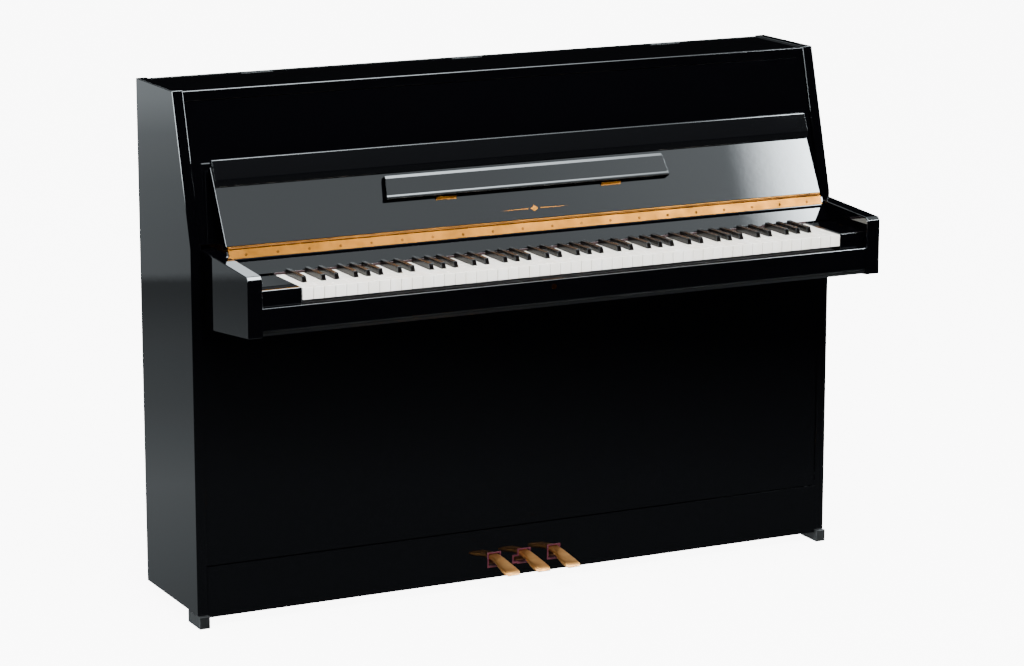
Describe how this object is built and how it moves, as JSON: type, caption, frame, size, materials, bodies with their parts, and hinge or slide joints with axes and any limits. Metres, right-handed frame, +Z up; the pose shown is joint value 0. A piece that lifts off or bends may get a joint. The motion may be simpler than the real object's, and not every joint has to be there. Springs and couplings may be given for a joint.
{
  "type": "upright piano",
  "caption": "Upright piano in a polished black case with a folding fallboard, music ledge, keyboard and pedals on hinges.",
  "frame": {"origin": "on the floor, under the middle of the case's width and depth", "axes": "+Z up, the keyboard faces -Y, the bass end is at -X"},
  "size_m": [1.48, 0.53, 1.09],
  "materials": {
    "black_polish": "wood core under deep black polyester lacquer, polished to a mirror",
    "key_white": "ivory white key covering, buffed",
    "key_black": "black sharps, satin to gloss",
    "key_wood": "pale straight-grained softwood, sanded",
    "brass": "polished brass, lightly warm",
    "felt_maroon": "dense maroon wool felt",
    "felt_grey": "pale wool felt",
    "spruce": "varnished spruce, straight grain",
    "beech": "clear-sealed beech",
    "iron_bronze": "cast iron, sprayed bronze-gold",
    "steel": "bright steel",
    "copper_wound": "copper-wound wire",
    "foot_black": "black, satin"
  },
  "bodies": {
    "case": {"side_board_left": "black_polish", "side_board_right": "black_polish", "arm_left": "black_polish", "arm_right": "black_polish", "bottom_board": "beech", "toe_rail": "black_polish", "pedal_slot_felts": "felt_maroon", "key_bed": "black_polish", "key_slip": "black_polish", "slip_lock": "brass", "key_block_left": "black_polish", "key_block_right": "black_polish", "nameboard": "black_polish", "nameboard_felt": "felt_maroon", "back_frame": "beech", "soundboard": "spruce", "iron_plate": "iron_bronze", "pin_block": "beech", "tuning_pins": "steel", "treble_strings": "steel", "bass_strings": "copper_wound", "action_frame": "beech", "key_frame": "beech", "feet": "foot_black", "fallboard_hinge_lower": "brass", "lid_hinges": "brass", "upper_panel": "black_polish"},
    "lid": {"top_lid": "black_polish"},
    "lower_door": {"lower_panel": "black_polish"},
    "fallboard": {"fallboard": "black_polish", "fallboard_hinge_upper": "brass", "small_hinges": "brass"},
    "flap": {"fallboard_flap": "black_polish"},
    "ledge": {"music_ledge": "black_polish"},
    "soft_pedal": {"soft_pedal": "brass"},
    "soft_rod": {"soft_rod": "beech"},
    "mute_pedal": {"mute_pedal": "brass"},
    "mute_rod": {"mute_rod": "beech"},
    "sustain_pedal": {"sustain_pedal": "brass"},
    "sustain_rod": {"sustain_rod": "beech"},
    "hammers": {"hammers": "key_wood", "hammer_rest_rail": "felt_grey"},
    "dampers": {"dampers": "key_wood"},
    "muffler": {"muffler_rail": "felt_grey"},
    "key_c4": {"key_c4": "key_white"},
    "key_c_sharp4": {"key_c_sharp4": "key_black"},
    "key_d4": {"key_d4": "key_white"},
    "key_d_sharp4": {"key_d_sharp4": "key_black"},
    "key_e4": {"key_e4": "key_white"},
    "key_f4": {"key_f4": "key_white"},
    "key_f_sharp4": {"key_f_sharp4": "key_black"},
    "key_g4": {"key_g4": "key_white"},
    "key_g_sharp4": {"key_g_sharp4": "key_black"},
    "key_a4": {"key_a4": "key_white"},
    "key_a_sharp4": {"key_a_sharp4": "key_black"},
    "key_b4": {"key_b4": "key_white"},
    "white_keys_bass": {"white_keys_bass": "key_white"},
    "black_keys_bass": {"black_keys_bass": "key_black"},
    "white_keys_treble": {"white_keys_treble": "key_white"},
    "black_keys_treble": {"black_keys_treble": "key_black"}
  },
  "joints": [
    {"name": "lid_hinge", "type": "hinge", "parent": "case", "child": "lid", "pos_m": [0, 0.249, 1.088], "axis": [-1, 0, 0], "range_deg": [0, 105]},
    {"name": "lower_door_tilt", "type": "hinge", "parent": "case", "child": "lower_door", "pos_m": [0, -0.021, 0.1285], "axis": [1, 0, 0], "range_deg": [0, 20]},
    {"name": "fallboard_hinge", "type": "hinge", "parent": "case", "child": "fallboard", "pos_m": [0, -0.078, 0.789], "axis": [-1, 0, 0], "range_deg": [-129.3, 0]},
    {"name": "flap_hinge", "type": "hinge", "parent": "fallboard", "child": "flap", "pos_m": [0, 0.00463, 0.9444], "axis": [1, 0, 0], "range_deg": [-101.3, 0]},
    {"name": "ledge_hinge", "type": "hinge", "parent": "fallboard", "child": "ledge", "pos_m": [0, -0.04847, 0.85008], "axis": [1, 0, 0], "range_deg": [0, 92]},
    {"name": "soft_pedal_press", "type": "hinge", "parent": "case", "child": "soft_pedal", "pos_m": [-0.0705, 0.06, 0.066], "axis": [1, 0, 0], "range_deg": [0, 7], "stiffness_Nm_per_rad": 25, "springref_deg": -8.59},
    {"name": "soft_rod_lift", "type": "slide", "parent": "case", "child": "soft_rod", "axis": [0, 0, 1], "range_m": [0, 0.0075]},
    {"name": "mute_pedal_press", "type": "hinge", "parent": "case", "child": "mute_pedal", "pos_m": [0, 0.06, 0.066], "axis": [1, 0, 0], "range_deg": [0, 7], "stiffness_Nm_per_rad": 25, "springref_deg": -8.59},
    {"name": "mute_rod_lift", "type": "slide", "parent": "case", "child": "mute_rod", "axis": [0, 0, 1], "range_m": [0, 0.0075]},
    {"name": "sustain_pedal_press", "type": "hinge", "parent": "case", "child": "sustain_pedal", "pos_m": [0.0705, 0.06, 0.066], "axis": [1, 0, 0], "range_deg": [0, 7], "stiffness_Nm_per_rad": 25, "springref_deg": -8.59},
    {"name": "sustain_rod_lift", "type": "slide", "parent": "case", "child": "sustain_rod", "axis": [0, 0, 1], "range_m": [0, 0.0075]},
    {"name": "hammer_rail_swing", "type": "hinge", "parent": "case", "child": "hammers", "pos_m": [0, 0.072, 0.794], "axis": [-1, 0, 0], "range_deg": [0, 9.2]},
    {"name": "damper_lift", "type": "hinge", "parent": "case", "child": "dampers", "pos_m": [0, 0.108, 0.786], "axis": [1, 0, 0], "range_deg": [0, 5]},
    {"name": "muffler_drop", "type": "slide", "parent": "case", "child": "muffler", "axis": [0, 0, -1], "range_m": [0, 0.03]},
    {"name": "key_c4_press", "type": "hinge", "parent": "case", "child": "key_c4", "pos_m": [0, -0.036, 0.711], "axis": [1, 0, 0], "range_deg": [0, 2.73], "stiffness_Nm_per_rad": 0.5, "springref_deg": -11.46},
    {"name": "key_c_sharp4_press", "type": "hinge", "parent": "case", "child": "key_c_sharp4", "pos_m": [0, -0.036, 0.711], "axis": [1, 0, 0], "range_deg": [0, 2.73], "stiffness_Nm_per_rad": 0.5, "springref_deg": -11.46},
    {"name": "key_d4_press", "type": "hinge", "parent": "case", "child": "key_d4", "pos_m": [0, -0.036, 0.711], "axis": [1, 0, 0], "range_deg": [0, 2.73], "stiffness_Nm_per_rad": 0.5, "springref_deg": -11.46},
    {"name": "key_d_sharp4_press", "type": "hinge", "parent": "case", "child": "key_d_sharp4", "pos_m": [0, -0.036, 0.711], "axis": [1, 0, 0], "range_deg": [0, 2.73], "stiffness_Nm_per_rad": 0.5, "springref_deg": -11.46},
    {"name": "key_e4_press", "type": "hinge", "parent": "case", "child": "key_e4", "pos_m": [0, -0.036, 0.711], "axis": [1, 0, 0], "range_deg": [0, 2.73], "stiffness_Nm_per_rad": 0.5, "springref_deg": -11.46},
    {"name": "key_f4_press", "type": "hinge", "parent": "case", "child": "key_f4", "pos_m": [0, -0.036, 0.711], "axis": [1, 0, 0], "range_deg": [0, 2.73], "stiffness_Nm_per_rad": 0.5, "springref_deg": -11.46},
    {"name": "key_f_sharp4_press", "type": "hinge", "parent": "case", "child": "key_f_sharp4", "pos_m": [0, -0.036, 0.711], "axis": [1, 0, 0], "range_deg": [0, 2.73], "stiffness_Nm_per_rad": 0.5, "springref_deg": -11.46},
    {"name": "key_g4_press", "type": "hinge", "parent": "case", "child": "key_g4", "pos_m": [0, -0.036, 0.711], "axis": [1, 0, 0], "range_deg": [0, 2.73], "stiffness_Nm_per_rad": 0.5, "springref_deg": -11.46},
    {"name": "key_g_sharp4_press", "type": "hinge", "parent": "case", "child": "key_g_sharp4", "pos_m": [0, -0.036, 0.711], "axis": [1, 0, 0], "range_deg": [0, 2.73], "stiffness_Nm_per_rad": 0.5, "springref_deg": -11.46},
    {"name": "key_a4_press", "type": "hinge", "parent": "case", "child": "key_a4", "pos_m": [0, -0.036, 0.711], "axis": [1, 0, 0], "range_deg": [0, 2.73], "stiffness_Nm_per_rad": 0.5, "springref_deg": -11.46},
    {"name": "key_a_sharp4_press", "type": "hinge", "parent": "case", "child": "key_a_sharp4", "pos_m": [0, -0.036, 0.711], "axis": [1, 0, 0], "range_deg": [0, 2.73], "stiffness_Nm_per_rad": 0.5, "springref_deg": -11.46},
    {"name": "key_b4_press", "type": "hinge", "parent": "case", "child": "key_b4", "pos_m": [0, -0.036, 0.711], "axis": [1, 0, 0], "range_deg": [0, 2.73], "stiffness_Nm_per_rad": 0.5, "springref_deg": -11.46},
    {"name": "white_keys_bass_press", "type": "hinge", "parent": "case", "child": "white_keys_bass", "pos_m": [0, -0.036, 0.711], "axis": [1, 0, 0], "range_deg": [0, 2.73], "stiffness_Nm_per_rad": 11.5, "springref_deg": -11.46},
    {"name": "black_keys_bass_press", "type": "hinge", "parent": "case", "child": "black_keys_bass", "pos_m": [0, -0.036, 0.711], "axis": [1, 0, 0], "range_deg": [0, 2.73], "stiffness_Nm_per_rad": 8, "springref_deg": -11.46},
    {"name": "white_keys_treble_press", "type": "hinge", "parent": "case", "child": "white_keys_treble", "pos_m": [0, -0.036, 0.711], "axis": [1, 0, 0], "range_deg": [0, 2.73], "stiffness_Nm_per_rad": 11, "springref_deg": -11.46},
    {"name": "black_keys_treble_press", "type": "hinge", "parent": "case", "child": "black_keys_treble", "pos_m": [0, -0.036, 0.711], "axis": [1, 0, 0], "range_deg": [0, 2.73], "stiffness_Nm_per_rad": 7.5, "springref_deg": -11.46}
  ],
  "couplings": [
    {"joint": "soft_rod_lift", "follows": "soft_pedal_press", "m_per_rad": 0.058},
    {"joint": "mute_rod_lift", "follows": "mute_pedal_press", "m_per_rad": 0.058},
    {"joint": "sustain_rod_lift", "follows": "sustain_pedal_press", "m_per_rad": 0.058},
    {"joint": "hammer_rail_swing", "follows": "soft_pedal_press", "ratio": 1.3},
    {"joint": "damper_lift", "follows": "sustain_pedal_press", "ratio": 0.7},
    {"joint": "muffler_drop", "follows": "mute_pedal_press", "m_per_rad": 0.24}
  ]
}
